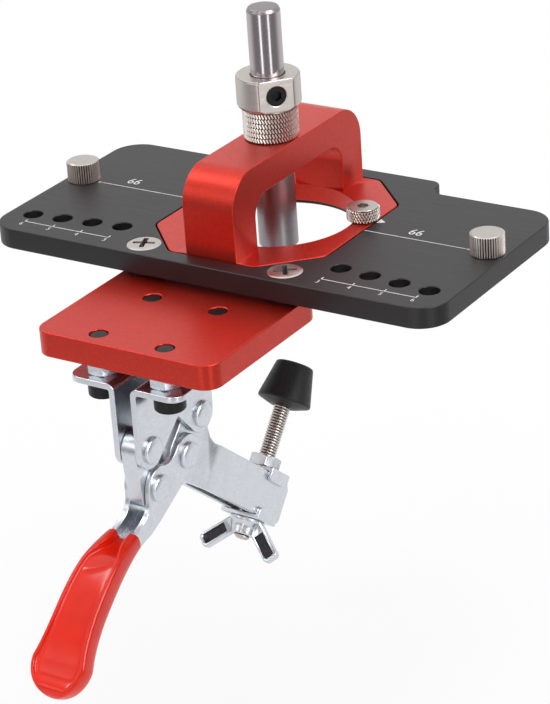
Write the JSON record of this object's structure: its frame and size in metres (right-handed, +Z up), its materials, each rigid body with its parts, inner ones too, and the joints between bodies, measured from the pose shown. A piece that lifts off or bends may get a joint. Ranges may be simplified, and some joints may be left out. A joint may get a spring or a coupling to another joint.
{
  "type": "hinge drilling jig",
  "caption": "Drilling jig for cup hinges: plate with an arch that guides a drill rod, stop pin holes, knurled screws and a toggle clamp below with a rubber tip.",
  "frame": {"origin": "where the boring axis meets the underside of the base plate", "axes": "+Z up along the drill rod, +X to the right along the plate, +Y to the rear, so the clamp and its handle stand out to the front along -Y"},
  "size_m": [0.143, 0.1609, 0.1525],
  "materials": {
    "black_aluminium": "satin anodised",
    "red_aluminium": "satin anodised",
    "zinc_steel": "zinc plated",
    "nickel_steel": "satin nickel",
    "ground_steel": "ground and polished",
    "black_steel": "black oxide",
    "rubber": "matte",
    "red_vinyl": "gloss dipped"
  },
  "bodies": {
    "jig": {"base_plate": "black_aluminium", "drill_bridge": "red_aluminium", "bridge_screws": "nickel_steel", "clamp_plate": "red_aluminium", "plate_screws": "nickel_steel", "plate_spacers": "black_steel", "clamp_frame_left": "zinc_steel", "clamp_frame_right": "zinc_steel", "frame_screws": "black_steel", "frame_nuts": "zinc_steel", "arm_pivot_rivet": "zinc_steel", "link_pivot_rivet": "zinc_steel"},
    "guide_bush": {"guide_bush": "nickel_steel"},
    "drill_rod": {"drill_rod": "ground_steel"},
    "stop_collar": {"stop_collar": "nickel_steel"},
    "collar_set_screw": {"collar_set_screw": "black_steel"},
    "thumb_screw_left": {"thumb_screw_left": "nickel_steel"},
    "thumb_screw_right": {"thumb_screw_right": "nickel_steel"},
    "clamp_arm": {"clamp_arm_left": "zinc_steel", "clamp_arm_right": "zinc_steel", "handle_pivot_rivet": "zinc_steel"},
    "handle": {"handle": "zinc_steel", "handle_grip": "red_vinyl", "link_rivet": "zinc_steel"},
    "toggle_link": {"toggle_link": "zinc_steel"},
    "spindle_carriage": {"saddle_washer_upper": "zinc_steel", "saddle_washer_lower": "zinc_steel", "spindle_nut": "zinc_steel"},
    "spindle": {"spindle": "nickel_steel", "rubber_tip": "rubber"},
    "wing_nut": {"wing_nut": "zinc_steel"}
  },
  "joints": [
    {"name": "bush_turn", "type": "hinge", "parent": "jig", "child": "guide_bush", "pos_m": [0, 0, 0.0294], "axis": [0, 0, 1], "continuous": true},
    {"name": "rod_slide", "type": "slide", "parent": "guide_bush", "child": "drill_rod", "axis": [0, 0, 1], "range_m": [0, 0.02]},
    {"name": "collar_slide", "type": "slide", "parent": "drill_rod", "child": "stop_collar", "axis": [0, 0, 1], "range_m": [0, 0.016]},
    {"name": "set_screw_turn", "type": "hinge", "parent": "stop_collar", "child": "collar_set_screw", "pos_m": [0, 0, 0.04295], "axis": [0.766, -0.6428, 0], "continuous": true},
    {"name": "thumb_left_turn", "type": "hinge", "parent": "jig", "child": "thumb_screw_left", "pos_m": [-0.066, 0, 0.006], "axis": [0, 0, 1], "continuous": true},
    {"name": "thumb_right_turn", "type": "hinge", "parent": "jig", "child": "thumb_screw_right", "pos_m": [0.066, 0, 0.006], "axis": [0, 0, 1], "continuous": true},
    {"name": "arm_pivot", "type": "hinge", "parent": "jig", "child": "clamp_arm", "pos_m": [0, -0.0492, -0.0322], "axis": [1, 0, 0], "range_deg": [-20, 40]},
    {"name": "handle_pivot", "type": "hinge", "parent": "clamp_arm", "child": "handle", "pos_m": [0, -0.05678, -0.04124], "axis": [1, 0, 0], "range_deg": [-61, 30.6]},
    {"name": "link_pivot", "type": "hinge", "parent": "jig", "child": "toggle_link", "pos_m": [0, -0.0728, -0.0322], "axis": [1, 0, 0], "range_deg": [-14.8, 29.6]},
    {"name": "spindle_slot", "type": "slide", "parent": "clamp_arm", "child": "spindle_carriage", "axis": [0, 0.766, -0.6428], "range_m": [-0.012, 0.002]},
    {"name": "spindle_slide", "type": "slide", "parent": "spindle_carriage", "child": "spindle", "axis": [0, 0.6428, 0.766], "range_m": [-0.01, 0]},
    {"name": "wing_nut_turn", "type": "hinge", "parent": "spindle_carriage", "child": "wing_nut", "pos_m": [0, -0.0132, -0.06241], "axis": [0, 0.6428, 0.766], "continuous": true}
  ],
  "couplings": [
    {"joint": "handle_pivot", "follows": "arm_pivot", "ratio": -1.524},
    {"joint": "link_pivot", "follows": "arm_pivot", "ratio": 0.738}
  ]
}
